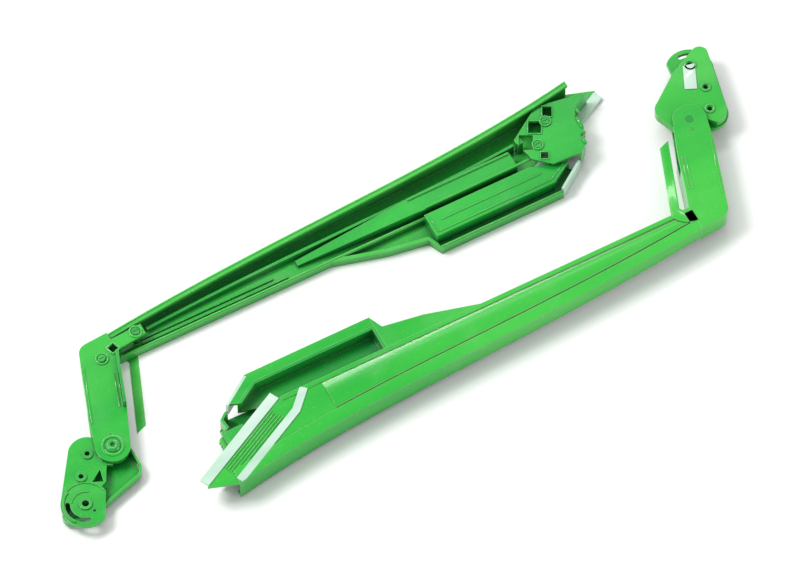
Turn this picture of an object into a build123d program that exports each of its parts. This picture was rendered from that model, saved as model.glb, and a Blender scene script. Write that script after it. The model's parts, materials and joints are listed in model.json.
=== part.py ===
from build123d import *
import math
import os

# A left and a right grabber hand: long moulded channel arms with an elbow, a forked neck and a swinging head.
# Millimetres. Each arm is drawn open side up in one arm frame. The right arm is the left one turned through the
# centre of the pair, so its smooth skin is up. The origin ends at the bottom centre of the pair's box.

# ------------------------------------------------------------------ overall sizes
pair_height = 28.0          # height of each arm as it lies
arm_start_x = -246.0        # where the straight run leaves the elbow
arm_end_x = 214.0           # end of the convex edge
tip_reach = 26.0            # the mitred point stands past the convex edge's end
tip_drop = 9.0              # how far the tip falls back from the convex edge
arm_inner_y = 52.5          # concave edge of the skin
mitre_back = 67.0           # the mitred end meets the concave edge this far back

# convex edge: a straight slope with an S-shaped sweep to both ends
edge_mid_x = -15.0
edge_mid_y = 90.3
edge_slope = 0.04
edge_sweep_narrow = 5.5
edge_sweep_wide = 10.2

# ------------------------------------------------------------------ walls and gaps
skin = 2.6                  # moulded wall
skin_lift = 0.8             # the middle of the skin stands back from its borders
rim_width = 5.6             # flange on top of the convex wall
rim_thickness = 2.2
wall_narrow = 16.0          # convex wall height at the elbow
wall_wide = 26.0            # and at the wide end
lip_height = 9.0            # concave lip
border_width = 4.0          # raised border strips on the outer face
crest_width = 13.0          # raised outer band beside the convex edge
play = 0.3                  # gap between pieces that move past each other
running_fit = 0.05          # radial clearance of a shaft in its bush

# ------------------------------------------------------------------ ribs and rail
groove_narrow = 9.0         # convex edge to the long rib, at the elbow
groove_wide = 19.0          # and at the wide end
rib_thickness = 2.4
rib_narrow = 8.0
rib_wide = 14.0
rib_start_x = arm_start_x + 34.0
rib_end_x = arm_end_x - 66.0
rail_end_x = arm_end_x - 75.0
rail_shoulder_x = rail_end_x - 99.0
rail_start_x = rail_end_x - 209.0
rail_root_height = 7.0
rail_height = 16.0
rail_bead = 1.4
rail_root_width = 5.0
rail_width = 16.0
rail_wall = 2.2

# ------------------------------------------------------------------ tray beside the skin
tray_outer_y = 20.0
tray_end_x = arm_end_x - 49.0
tray_start_x = tray_end_x - 119.0
tray_chamfer = (26.0, 18.0)
tray_wall_height = 10.0
gutter_width = 9.0
panel_height = 16.5
web_start_x = tray_start_x - 90.0
end_plate_height = 15.0

# ------------------------------------------------------------------ wide end
bracket_height = 22.0
bracket_thickness = 2.4
leg_size = 5.0
tooth_wall = 2.6
strip_width = 9.0
strip_thickness = skin_lift + skin
inlay_width = 7.0
inlay_set_back = 22.0
catch_width = 13.0
catch_length = 22.0
catch_height = 6.5
catch_proud = 4.0           # how far the thumb catch stands out of the end fin at rest
catch_y = arm_inner_y + 15.5
guide_wall = 2.0
guide_length = 17.0

# ------------------------------------------------------------------ neck and elbow
neck_top = 16.4             # underside of the neck's top plate, also the top of the fork gap
neck_plate_thickness = 2.6
pivot_x = arm_start_x - 44.0
pivot_y = -24.0
fork_radius = 15.0
fork_root_y = 16.0          # the neck's side walls stop here
square_hole = 6.4
elbow_radius = 10.0
flange_wall = 2.4

# ------------------------------------------------------------------ head
pivot_radius = 4.0
pivot_cap_radius = pivot_radius + 2.4
pivot_cap_height = 1.6
bush_wall = 2.6
washer_thickness = 0.9
head_floor = 2.2
head_rim_wall = 1.8
head_plate_thickness = 3.6
lug_b = (pivot_x - 44.0, pivot_y - 37.0)
lug_c = (pivot_x - 22.0, pivot_y + 5.0)
lug_c_radius = 16.0
hole_a = (pivot_x - 36.0, pivot_y - 12.5)
hole_c = (pivot_x - 21.8, pivot_y + 4.5)
small_bore = 2.2
large_bore = 3.0
boss_wall = 2.6
boss_height = 1.4
arc_slot_radius = 15.0
arc_slot_half_width = 2.0
plate_rim = 4.0             # plate left outside the arc slot
lug_b_radius = arc_slot_radius + arc_slot_half_width + plate_rim
stop_radius = 2.0
stop_reach = 10.8
stop_angle = 75.0
swing_back = 12.0           # head travel, clockwise from the left arm's rest
swing_out = 32.0            # head travel, anticlockwise
right_head_angle = 20.0     # the right arm lies with its head swung out
screw_radius = 1.6
screw_head_radius = 3.6
screw_head_height = 1.8

big = 400.0


# ------------------------------------------------------------------ helpers
def slab(points, low, high):
    """A flat polygon raised from low to high."""
    face = make_face(Polyline(*points, close=True))
    return Pos(0, 0, low) * extrude(face, high - low)


def rod(centre, radius, low, high):
    return Pos(centre[0], centre[1], low) * extrude(Circle(radius), high - low)


def tube(centre, outer, inner, low, high):
    return rod(centre, outer, low, high) - rod(centre, inner, low - 1, high + 1)


def convex_y(x):
    reach = x - edge_mid_x
    if reach > 0:
        span, sweep = arm_end_x - edge_mid_x, edge_sweep_wide
    else:
        span, sweep = edge_mid_x - arm_start_x, edge_sweep_narrow
    return edge_mid_y + edge_slope * reach + sweep * (reach / span) ** 3


def edge_points(start_x, end_x, inset_start, inset_end, count=6):
    """Points beside the convex edge, set in by a distance that changes evenly."""
    points = []
    for i in range(count):
        share = i / (count - 1)
        x = start_x + share * (end_x - start_x)
        points.append((x, convex_y(x) - inset_start - share * (inset_end - inset_start)))
    return points


def band(start_x, end_x, near, far, low, high):
    """A strip that follows the convex edge between two insets, each given at start and end."""
    upper = edge_points(start_x, end_x, *near)
    lower = edge_points(start_x, end_x, *far)
    outline = [Spline(*upper), Line(upper[-1], lower[-1]), Spline(*reversed(lower)), Line(lower[0], upper[0])]
    return Pos(0, 0, low) * extrude(make_face(outline), high - low)


def wedge(low_start, low_end, high_start, high_end, start_x=arm_start_x, end_x=arm_end_x):
    """The space between two sloping planes, given by their heights at two stations."""
    def height(x, first, last):
        return first + (last - first) * (x - start_x) / (end_x - start_x)

    left, right = start_x - 100, end_x + 100
    corners = [(left, height(left, low_start, low_end)), (right, height(right, low_start, low_end)),
               (right, height(right, high_start, high_end)), (left, height(left, high_start, high_end))]
    face = make_face(Polyline(*[(x, -big / 2, z) for x, z in corners], close=True))
    return extrude(face, big, dir=(0, 1, 0))


def beside(start, end, distance):
    """The unit direction of a line and the same line moved sideways, to its right."""
    length = math.dist(start, end)
    along = ((end[0] - start[0]) / length, (end[1] - start[1]) / length)
    shift = (along[1] * distance, -along[0] * distance)
    return along, (start[0] + shift[0], start[1] + shift[1]), (end[0] + shift[0], end[1] + shift[1])


def bar(start, end, width, low, high):
    """A straight bar whose left side lies on the line from start to end."""
    _, far_start, far_end = beside(start, end, width)
    return slab([start, end, far_end, far_start], low, high)


def screw(centre, low, seat):
    shank = rod(centre, screw_radius, low, seat)
    head = rod(centre, screw_head_radius, seat, seat + screw_head_height)
    head = chamfer(head.edges().group_by(Axis.Z)[-1], 0.6)
    slot = Pos(centre[0], centre[1], seat + screw_head_height) * Box(screw_head_radius * 1.3, 0.8, 1.4)
    return shank + head - slot


def screw_post(centre, low, high):
    return tube(centre, screw_radius + 2.0, screw_radius, low, high)


# ------------------------------------------------------------------ shared points
tip = (arm_end_x + tip_reach, convex_y(arm_end_x) - tip_drop)
mitre_x = arm_end_x - mitre_back
mitre_foot = (mitre_x, arm_inner_y)
mitre_along, _, _ = beside(mitre_foot, tip, 1.0)
mitre_out = (mitre_along[1], -mitre_along[0])
mitre_length = math.dist(mitre_foot, tip)
pivot = (pivot_x, pivot_y)
floor_top = skin_lift + skin
neck_seat = neck_top + neck_plate_thickness
corner_out = (arm_start_x - 28.0, convex_y(arm_start_x) - 2.0)
corner_in = (arm_start_x - 6.0, arm_inner_y - 16.0)
neck_left = (pivot_x - 8.0, fork_root_y - 12.0)
neck_right = (pivot_x + 27.2, fork_root_y - 12.0)
boss_spots = [(arm_start_x + 22.0, convex_y(arm_start_x + 22.0) - 13.0), (arm_start_x - 15.0, arm_inner_y + 2.0)]
tray_corner = (tray_end_x, tray_outer_y)
tray_shoulder = (tray_end_x + tray_chamfer[0], tray_outer_y + tray_chamfer[1])
bracket_spots = [(arm_end_x - 33.0, convex_y(arm_end_x) - 26.0), (arm_end_x - 50.0, convex_y(arm_end_x) - 43.7)]


fin_face_x = arm_end_x - 8.0
catch_middle_z = strip_thickness + guide_wall + play + catch_height / 2


def on_mitre(share, out=0.0):
    """A point on the mitred end, counted from the concave edge, and moved out from it."""
    return (mitre_foot[0] + mitre_along[0] * mitre_length * share + mitre_out[0] * out,
            mitre_foot[1] + mitre_along[1] * mitre_length * share + mitre_out[1] * out)


# ------------------------------------------------------------------ arm pieces
def skin_outline():
    edge = edge_points(arm_start_x, arm_end_x, 0.0, 0.0)
    start = (arm_start_x, arm_inner_y)
    return make_face([Spline(*edge), Polyline(edge[-1], tip, mitre_foot, start, edge[0])])


def arm_shell():
    """The long channel: skin, tall convex wall with a rim, low concave lip and raised borders outside."""
    shell = Pos(0, 0, skin_lift) * extrude(skin_outline(), skin)
    wall = band(arm_start_x, arm_end_x, (0, 0), (skin, skin), skin_lift, pair_height + 5)
    shell += wall & wedge(0, 0, wall_narrow, wall_wide)
    rim = band(arm_start_x, arm_end_x, (0, 0), (rim_width, rim_width), 0, pair_height + 5)
    shell += rim & wedge(wall_narrow - rim_thickness, wall_wide - rim_thickness, wall_narrow, wall_wide)
    shell += slab([(arm_start_x, arm_inner_y), (mitre_x, arm_inner_y), (mitre_x, arm_inner_y + skin),
                   (arm_start_x, arm_inner_y + skin)], skin_lift, lip_height)
    shell += band(arm_start_x, arm_end_x, (0, 0), (crest_width * 0.7, crest_width), 0, floor_top)
    shell += slab([(arm_start_x, arm_inner_y), mitre_foot, (mitre_x, arm_inner_y + border_width),
                   (arm_start_x, arm_inner_y + border_width)], 0, floor_top)
    for centre in boss_spots[:1]:
        shell += screw_post(centre, floor_top - 1, neck_top)
        shell -= rod(centre, screw_radius, floor_top, neck_top + 1)
    for centre in bracket_spots:
        shell += screw_post(centre, floor_top - 1, bracket_height - bracket_thickness)
        shell -= rod(centre, screw_radius, floor_top, bracket_height)
    return shell - inlay_bars(-1)


def long_rib():
    """The rib that runs beside the convex wall and leaves the deep groove between them."""
    near = (groove_narrow, groove_wide)
    far = (groove_narrow + rib_thickness, groove_wide + rib_thickness)
    rib = band(rib_start_x, rib_end_x, near, far, floor_top, pair_height)
    return rib & wedge(0, 0, rib_narrow, rib_wide)


def rail_sides(inset=0.0):
    """The rail's plan: a slim root that widens to a wide end cut to match the mitre."""
    upper_root = convex_y(rail_start_x) - groove_wide - inset
    upper_end = convex_y(rail_end_x) - groove_wide - rib_thickness - 4.0 - inset
    upper_mid = convex_y(rail_shoulder_x) - groove_wide - inset
    return [(rail_start_x + inset, upper_root), (rail_shoulder_x, upper_mid), (rail_end_x - inset, upper_end),
            (rail_end_x + 20 - 1.6 * inset, upper_end - rail_width + 2 * inset),
            (rail_shoulder_x + 10, upper_mid - rail_width + 2 * inset),
            (rail_start_x + inset, upper_root - rail_root_width + 2 * inset)]


def inner_rail():
    """A hollow hat-section rail on the skin, with a bead along both of its top edges."""
    slope = wedge(0, 0, rail_root_height, rail_height, rail_start_x, rail_shoulder_x)
    rail = slab(rail_sides(), floor_top, rail_height) & slope
    hollow = slab(rail_sides(rail_wall), floor_top - 1, rail_height - rail_wall)
    hollow &= wedge(-10, -10, rail_root_height - rail_wall, rail_height - rail_wall, rail_start_x, rail_shoulder_x)
    rail -= hollow
    corners = rail_sides()
    rail += bar(corners[1], corners[2], rail_bead + 0.6, rail_height, rail_height + rail_bead)
    rail += bar(corners[3], corners[4], rail_bead + 0.6, rail_height, rail_height + rail_bead)
    return rail


def tray_web():
    """The flat web that carries the tray out from the concave lip, with a wall along its free edge."""
    foot = (tray_start_x - 6.0, tray_outer_y + 13.0)
    outline = [(web_start_x, arm_inner_y), (web_start_x + 48.0, foot[1] + 6.0), foot,
               (tray_start_x, tray_outer_y), (tray_start_x, arm_inner_y)]
    hollow = Pos(skin * 0.6, skin * 1.1, 0) * slab(outline, skin, pair_height)
    return slab(outline, 0, lip_height) - hollow


def side_tray():
    """The gutter that runs beside the skin: a floor and an outer wall."""
    far = tray_outer_y + gutter_width
    tray = slab([(tray_start_x, tray_outer_y), tray_corner, tray_shoulder,
                 (tray_shoulder[0] - gutter_width, tray_shoulder[1] + 4.0), (tray_end_x - 4.0, far),
                 (tray_start_x, far)], 0, skin)
    tray += bar(tray_corner, (tray_start_x, tray_outer_y), skin, 0, tray_wall_height)
    return tray - tray_end_plate()


def tray_panel():
    """The raised panel between the gutter and the concave lip, with its two risers."""
    near = tray_outer_y + gutter_width
    corners = [(tray_start_x, arm_inner_y), (tray_start_x, near), (tray_end_x - 4.0, near),
               (tray_shoulder[0] - gutter_width, tray_shoulder[1] + 4.0), mitre_foot]
    panel = slab(corners, panel_height - skin, panel_height)
    panel += bar(corners[2], corners[1], skin, 0, panel_height)
    panel += bar(corners[3], corners[2], skin, 0, panel_height)
    panel += bar(corners[1], corners[0], skin, 0, panel_height)
    return panel & slab(corners, 0, panel_height)


def tray_end_plate():
    """The plate that closes the tray's wide end."""
    return bar(tray_shoulder, tray_corner, skin, 0, end_plate_height)


def tooth_line():
    """The stepped edge of the wide end, from the tip side down to the tray."""
    start = on_mitre(0.86, 1.0)
    high = catch_y + catch_width / 2 + 2.0
    low = catch_y - catch_width / 2 - 2.0
    return [start, (fin_face_x + 6.0, high + 8.5), (fin_face_x, high), (fin_face_x, low),
            (fin_face_x - 6.0, low - 3.0), (fin_face_x - 5.0, low - 12.0), (fin_face_x - 12.0, low - 17.5)]


def end_fin():
    """The toothed wall that stands across the wide end."""
    line = tooth_line()
    inner = [(x - tooth_wall, y + tooth_wall * 0.2) for x, y in reversed(line)]
    fin = slab(line + inner, strip_thickness, bracket_height - bracket_thickness)
    return fin - catch_tunnel(4 * tooth_wall, fin_face_x)


def end_bracket():
    """The windowed plate over the wide end, on three legs."""
    line = tooth_line()
    top = convex_y(arm_end_x)
    corners = [(arm_end_x - 34.0, top - rim_width - 3.5), line[0]] + line[1:]
    corners += [(arm_end_x - 47.0, tray_outer_y + 23.0), (arm_end_x - 61.0, arm_inner_y + 3.0),
                (arm_end_x - 66.0, arm_inner_y + 27.0)]
    plate = slab(corners, bracket_height - bracket_thickness, bracket_height)
    windows = [(-27.0, -18.0, 8.0, 10.0), (-44.0, -27.0, 11.0, 12.0), (-58.0, -37.0, 12.0, 15.0)]
    for dx, dy, width, depth in windows:
        plate -= Pos(arm_end_x + dx, top + dy, bracket_height) * Rot(0, 0, -28) * Box(width, depth, 12)
    plate -= Pos(arm_end_x - 50.0, top - 56.0, bracket_height) * Rot(0, 0, -28) * Box(6.5, 6.5, 12)
    for centre in bracket_spots:
        plate -= rod(centre, screw_radius, 0, bracket_height + 1)
    leg_spots = [(arm_end_x - 62.0, arm_inner_y + 25.0), (arm_end_x - 35.0, top - rim_width - 8.0)]
    for x, y in leg_spots:
        plate += Pos(x, y, (floor_top + bracket_height - bracket_thickness) / 2) * Box(
            leg_size, leg_size, bracket_height - bracket_thickness - floor_top)
    return plate


def edge_strip():
    """The pale facing strip along the mitred end."""
    return bar(on_mitre(0.02), on_mitre(0.98), strip_width, 0, strip_thickness)


def inlay_bars(low):
    """The two legs of the facing strip, from a low height up to the skin."""
    elbow = on_mitre(0.02, -inlay_set_back)
    foot = (mitre_x - inlay_set_back - 2.0, arm_inner_y + border_width)
    legs = bar(elbow, on_mitre(0.8, -inlay_set_back), inlay_width, low, skin_lift)
    return legs + bar(foot, elbow, inlay_width, low, skin_lift)


def inlay_strip():
    """The L-shaped facing strip set on the skin behind the mitred end."""
    return inlay_bars(0) & extrude(skin_outline(), skin_lift)


def catch_tunnel(length, middle_x):
    """The space that the thumb catch slides in, with play all round."""
    return Pos(middle_x, catch_y, catch_middle_z) * Box(length, catch_width + 2 * play, catch_height + 2 * play)


def thumb_catch():
    """The rounded block that is pressed in at the wide end."""
    block = Box(catch_length, catch_width, catch_height)
    block = fillet(block.edges().filter_by(Axis.Z), 3.0)
    block = chamfer(block.edges().group_by(Axis.Z)[-1], 0.8)
    return Pos(fin_face_x + catch_proud - catch_length / 2, catch_y, catch_middle_z) * block


def catch_guide():
    """The moulded sleeve that the thumb catch slides in."""
    middle_x = fin_face_x - tooth_wall - guide_length / 2
    outer = Box(guide_length, catch_width + 2 * (play + guide_wall), catch_height + 2 * (play + guide_wall))
    sleeve = Pos(middle_x, catch_y, catch_middle_z) * outer - catch_tunnel(guide_length + 2, middle_x)
    return sleeve - end_fin()


# ------------------------------------------------------------------ neck pieces
def neck_outline():
    """Plan of the elbow and neck down to the round end of the fork."""
    start_y = convex_y(arm_start_x)
    lean = math.radians(20)
    across = (fork_radius * math.cos(lean), fork_radius * math.sin(lean))
    left = (pivot_x - across[0], pivot_y + across[1])
    right = (pivot_x + across[0], pivot_y - across[1])
    bottom = (pivot_x - across[1], pivot_y - across[0])
    edge = [Polyline((arm_start_x, start_y), corner_out, neck_left, left), ThreePointArc(left, bottom, right),
            Polyline(right, neck_right, corner_in, (arm_start_x, arm_inner_y), (arm_start_x, start_y))]
    face = make_face(edge)
    outer = face.vertices().sort_by_distance((corner_out[0], corner_out[1], 0))[0]
    return fillet(outer, elbow_radius)


def neck_body(low, high):
    return Pos(0, 0, low) * extrude(neck_outline(), high - low)


def neck_keep(low, high):
    """The part of the neck above the fork's root."""
    return Pos(pivot_x, fork_root_y + big / 2, (low + high) / 2) * Box(big, big, high - low)


def neck_cover():
    """The outer half of the elbow and neck: a floor with side walls that stop short of the fork."""
    inner = offset(neck_outline(), -skin)
    hollow = Pos(0, 0, skin) * extrude(inner, pair_height)
    open_end = Pos(arm_start_x + 10, arm_inner_y + skin + 10, pair_height / 2 + skin) * Box(
        40, 19.0, pair_height)
    cover = neck_body(0, neck_top)
    walls = cover - hollow - open_end
    cover = (walls & neck_keep(0, neck_top)) + neck_body(0, skin)
    cover += screw_post(boss_spots[1], skin - 1, neck_top)
    cover -= rod(boss_spots[1], screw_radius, skin, neck_top + 1)
    cover -= rod(pivot, pivot_radius, -1, neck_top)
    return cover - rod(stop_spot(), stop_radius, -1, neck_top)


def neck_plate():
    """The inner half of the elbow and neck: a flat plate with a square hole and a beaded edge."""
    plate = neck_body(neck_top, neck_seat)
    tongue = slab([(arm_start_x, convex_y(arm_start_x) - rim_width - 2), (boss_spots[0][0] + 7, boss_spots[0][1] + 5),
                   (boss_spots[0][0] + 7, boss_spots[0][1] - 5), (arm_start_x, arm_inner_y + 4)], neck_top, neck_seat)
    plate += tongue
    plate -= Pos(arm_start_x - 2.0, arm_inner_y + 7.0, neck_top) * Rot(0, 0, 20) * Box(
        square_hole, square_hole, 12)
    plate -= rod(pivot, pivot_radius, 0, neck_seat + 1)
    for centre in boss_spots:
        plate -= rod(centre, screw_radius, 0, neck_seat + 1)
    return plate - rod(stop_spot(), stop_radius, 0, neck_seat + 1)


def neck_flange():
    """The back flange that stands along the neck's concave side, with its gusset."""
    top = bar(neck_right, corner_in, -flange_wall, neck_seat, pair_height)
    gusset = slab([corner_in, (corner_in[0] - flange_wall, corner_in[1]), (arm_start_x - 3.0, arm_inner_y),
                   (arm_start_x, arm_inner_y)], neck_seat, pair_height)
    return top + gusset


def stop_spot(turn=0.0):
    angle = math.radians(stop_angle + turn)
    return (pivot_x + stop_reach * math.cos(angle), pivot_y + stop_reach * math.sin(angle))


def elbow_screws():
    return Compound([screw(centre, neck_top - 8.0, neck_seat) for centre in boss_spots])


def bracket_screws():
    return Compound([screw(centre, bracket_height - 10.0, bracket_height) for centre in bracket_spots])


def pivot_pin():
    """The rivet that the head swings on."""
    pin = rod(pivot, pivot_radius, 0.2, neck_seat)
    cap = rod(pivot, pivot_cap_radius, neck_seat, neck_seat + pivot_cap_height)
    cap = chamfer(cap.edges().group_by(Axis.Z)[-1], 0.8)
    return pin + cap - rod(pivot, 2.0, neck_seat, neck_seat + 3)


def stop_pin():
    return rod(stop_spot(), stop_radius, 0.2, neck_seat)


def pivot_washers():
    outer = pivot_radius + bush_wall
    lower = tube(pivot, outer, pivot_radius, skin, skin + washer_thickness)
    upper = tube(pivot, outer, pivot_radius, neck_top - washer_thickness, neck_top)
    return Compound([lower, upper])


# ------------------------------------------------------------------ head pieces
head_low = skin + washer_thickness + play
head_high = neck_top - washer_thickness - play
plate_low = head_high - head_plate_thickness
bush_radius = pivot_radius + running_fit + bush_wall


def off_pivot(dx, dy):
    """A point of the head, counted from its pivot."""
    return (pivot_x + dx, pivot_y + dy)


def head_shell_outline():
    """Plan of the head's outer shell: a round neck end, a lobe on the concave side and a pointed end."""
    start, right = off_pivot(-12.0, 9.0), off_pivot(14.0, 3.0)
    lobe_start, lobe_end = off_pivot(14.5, -23.0), off_pivot(5.0, -33.0)
    point_start, point_end = off_pivot(-58.0, -46.0), off_pivot(-65.5, -36.0)
    shoulder_start, shoulder_end = off_pivot(-32.5, 14.5), off_pivot(-16.0, 18.0)
    return [ThreePointArc(start, off_pivot(3.0, 14.7), right),
            Line(right, lobe_start),
            ThreePointArc(lobe_start, off_pivot(11.5, -29.5), lobe_end),
            Polyline(lobe_end, off_pivot(-28.0, -43.0), point_start),
            ThreePointArc(point_start, off_pivot(-64.6, -42.6), point_end),
            Line(point_end, shoulder_start),
            ThreePointArc(shoulder_start, off_pivot(-25.0, 19.5), shoulder_end),
            Line(shoulder_end, start)]


def head_shell():
    """The outer shell of the head, open towards the plate."""
    face = make_face(head_shell_outline())
    shell = Pos(0, 0, head_low) * extrude(face, plate_low - head_low)
    hollow = Pos(0, 0, head_low + head_floor) * extrude(offset(face, -head_rim_wall), pair_height)
    shell -= hollow
    for centre in (lug_b, hole_a, hole_c):
        shell += rod(centre, small_bore + boss_wall, head_low, plate_low)
    shell -= rod(pivot, bush_radius, 0, pair_height)
    for centre, bore in ((lug_b, large_bore), (hole_a, small_bore), (hole_c, small_bore)):
        shell -= rod(centre, bore, 0, pair_height)
    return shell - stop_slot()


def arc_slot(centre, reach, half_width, first, last):
    """A curved slot with round ends, between two angles about a centre."""
    ring = Circle(reach + half_width) - Circle(reach - half_width)
    spread = [(0, 0)] + [(3 * reach * math.cos(math.radians(a)), 3 * reach * math.sin(math.radians(a)))
                         for a in (first, (first + last) / 2, last)]
    slot = ring & make_face(Polyline(*spread, close=True))
    for angle in (first, last):
        turn = math.radians(angle)
        slot += Pos(reach * math.cos(turn), reach * math.sin(turn)) * Circle(half_width)
    return Pos(centre[0], centre[1], 0) * extrude(slot, pair_height)


def stop_slot():
    """The slot that the stop pin travels in."""
    return arc_slot(pivot, stop_reach, stop_radius + play, stop_angle - swing_out - 1, stop_angle + swing_back + 1)


def head_plate():
    """The D-shaped plate that carries the tool's handle: lugs, arc slot, window and holes."""
    neck_end = rod(pivot, fork_radius - 1.0, plate_low, head_high)
    corner = rod(lug_c, lug_c_radius, plate_low, head_high)
    disc = rod(lug_b, lug_b_radius, plate_low, head_high)
    along, _, _ = beside(lug_c, lug_b, 1.0)
    left_c = (lug_c[0] + along[1] * lug_c_radius, lug_c[1] - along[0] * lug_c_radius)
    left_b = (lug_b[0] + along[1] * lug_b_radius, lug_b[1] - along[0] * lug_b_radius)
    body = slab([left_c, left_b, lug_b, off_pivot(-13.0, -23.0), off_pivot(-6.0, -12.0), pivot, lug_c],
                plate_low, head_high)
    plate = neck_end + corner + disc + body
    flat_start, flat_end = off_pivot(-12.0, -12.0), off_pivot(-43.0, -71.0)
    chord = bar(flat_end, flat_start, 60.0, plate_low - 1, head_high + 1)
    plate -= chord - rod(pivot, fork_radius - 1.0, 0, pair_height)
    plate -= arc_slot(lug_b, arc_slot_radius, arc_slot_half_width, 155, 255)
    plate -= slab([off_pivot(-18.8, -13.3), off_pivot(-21.4, -24.9), off_pivot(-30.0, -21.0)], 0, pair_height)
    plate -= rod((lug_b[0] + 4.0, lug_b[1] - 9.0), 1.4, 0, pair_height)
    plate -= rod(pivot, bush_radius, 0, pair_height)
    for centre in (hole_a, hole_c):
        plate -= rod(centre, small_bore + 1.2, 0, pair_height)
    plate -= rod(lug_b, large_bore + 1.2, 0, pair_height)
    return plate - stop_slot()


def head_bushes():
    """Three flanged bushes set in the plate: the handle's bolt goes through the large one."""
    bushes = []
    for centre, bore in ((lug_b, large_bore), (hole_a, small_bore), (hole_c, small_bore)):
        sleeve = tube(centre, bore + 1.2, bore, plate_low, head_high)
        flange = tube(centre, bore + boss_wall, bore, head_high, head_high + boss_height)
        bushes.append(sleeve + flange)
    return Compound(bushes)


def guide_rib():
    """The curved bead that stands on the plate round the handle's bolt."""
    bead = arc_slot(lug_b, lug_b_radius - 2.2, 1.0, 120, 215)
    return bead & Pos(lug_b[0], lug_b[1], head_high + 0.6) * Box(big, big, 1.2)


def pivot_bush():
    return tube(pivot, bush_radius, pivot_radius + running_fit, head_low, head_high)


# ------------------------------------------------------------------ assembly
arm_pieces = {"arm_shell": arm_shell, "long_rib": long_rib, "inner_rail": inner_rail, "tray_web": tray_web,
              "side_tray": side_tray, "tray_panel": tray_panel, "tray_end_plate": tray_end_plate,
              "end_fin": end_fin, "end_bracket": end_bracket, "edge_strip": edge_strip,
              "inlay_strip": inlay_strip, "catch_guide": catch_guide, "neck_cover": neck_cover,
              "neck_plate": neck_plate, "neck_flange": neck_flange, "elbow_screws": elbow_screws,
              "bracket_screws": bracket_screws, "pivot_pin": pivot_pin, "stop_pin": stop_pin,
              "pivot_washers": pivot_washers}
catch_pieces = {"thumb_catch": thumb_catch}
head_pieces = {"head_shell": head_shell, "head_plate": head_plate, "head_bushes": head_bushes,
               "guide_rib": guide_rib, "pivot_bush": pivot_bush}


def solids_only(shape):
    """A piece as one compound of its solids."""
    solids = shape.solids()
    return solids[0] if len(solids) == 1 else Compound(solids)


def turned_over(shape):
    """The right arm's copy of a piece: through the centre of the pair."""
    flipped = mirror(shape, about=Plane.XY.offset(pair_height / 2))
    return flipped.rotate(Axis.Z, 180)


def swung(shape, angle):
    return shape.rotate(Axis((pivot_x, pivot_y, 0), (0, 0, 1)), angle)


nodes = {}
for group, swings in ((arm_pieces, False), (catch_pieces, False), (head_pieces, True)):
    for name, make in group.items():
        piece = solids_only(make())
        nodes["left_" + name] = piece
        nodes["right_" + name] = turned_over(swung(piece, right_head_angle) if swings else piece)

whole = Compound(list(nodes.values())).bounding_box()
shift = Pos(-(whole.min.X + whole.max.X) / 2, -(whole.min.Y + whole.max.Y) / 2, -whole.min.Z)

os.makedirs("parts", exist_ok=True)
for name, piece in nodes.items():
    export_step(shift * piece, os.path.join("parts", name + ".step"))

print("nodes", len(nodes))
print("shift", [round(v, 4) for v in shift.position])
print("size", [round(v, 2) for v in whole.size])
print("pivot", pivot, "fin face", fin_face_x, "catch middle", catch_middle_z)
print("head", head_low, head_high, plate_low, "bores a, b, c", hole_a, lug_b, hole_c)
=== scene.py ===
import json
import logging
import math
from dataclasses import dataclass
from enum import Enum

import bpy
from mathutils import Matrix, Vector


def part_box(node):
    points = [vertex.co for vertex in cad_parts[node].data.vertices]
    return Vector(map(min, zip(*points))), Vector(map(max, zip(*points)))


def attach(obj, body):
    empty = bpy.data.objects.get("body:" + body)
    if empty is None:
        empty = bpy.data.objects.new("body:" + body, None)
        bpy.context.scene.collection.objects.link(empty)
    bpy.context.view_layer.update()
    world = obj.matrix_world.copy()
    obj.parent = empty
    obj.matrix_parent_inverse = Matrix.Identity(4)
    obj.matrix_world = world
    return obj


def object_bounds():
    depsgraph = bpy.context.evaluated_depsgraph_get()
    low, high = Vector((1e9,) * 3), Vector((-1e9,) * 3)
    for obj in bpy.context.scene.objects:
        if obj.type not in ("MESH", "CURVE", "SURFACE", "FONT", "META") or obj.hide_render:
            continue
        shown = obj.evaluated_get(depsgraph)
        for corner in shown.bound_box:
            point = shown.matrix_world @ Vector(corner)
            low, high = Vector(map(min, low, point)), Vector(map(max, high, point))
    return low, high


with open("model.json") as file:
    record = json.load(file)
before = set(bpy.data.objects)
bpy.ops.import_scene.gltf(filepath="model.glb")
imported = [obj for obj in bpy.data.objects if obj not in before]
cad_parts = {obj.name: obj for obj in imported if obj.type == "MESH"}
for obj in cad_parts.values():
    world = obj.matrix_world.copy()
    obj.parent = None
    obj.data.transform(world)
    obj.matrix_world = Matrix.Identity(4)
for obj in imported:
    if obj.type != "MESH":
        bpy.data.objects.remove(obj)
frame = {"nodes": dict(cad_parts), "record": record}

log = logging.getLogger("grabber_hands")
CAD_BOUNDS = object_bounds()
MM = 0.001
SINK = 0.1  # how far trim sinks into the face under it, in millimetres


class Side(Enum):
    """The two hands of the pair."""

    LEFT = "left"
    RIGHT = "right"


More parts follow.
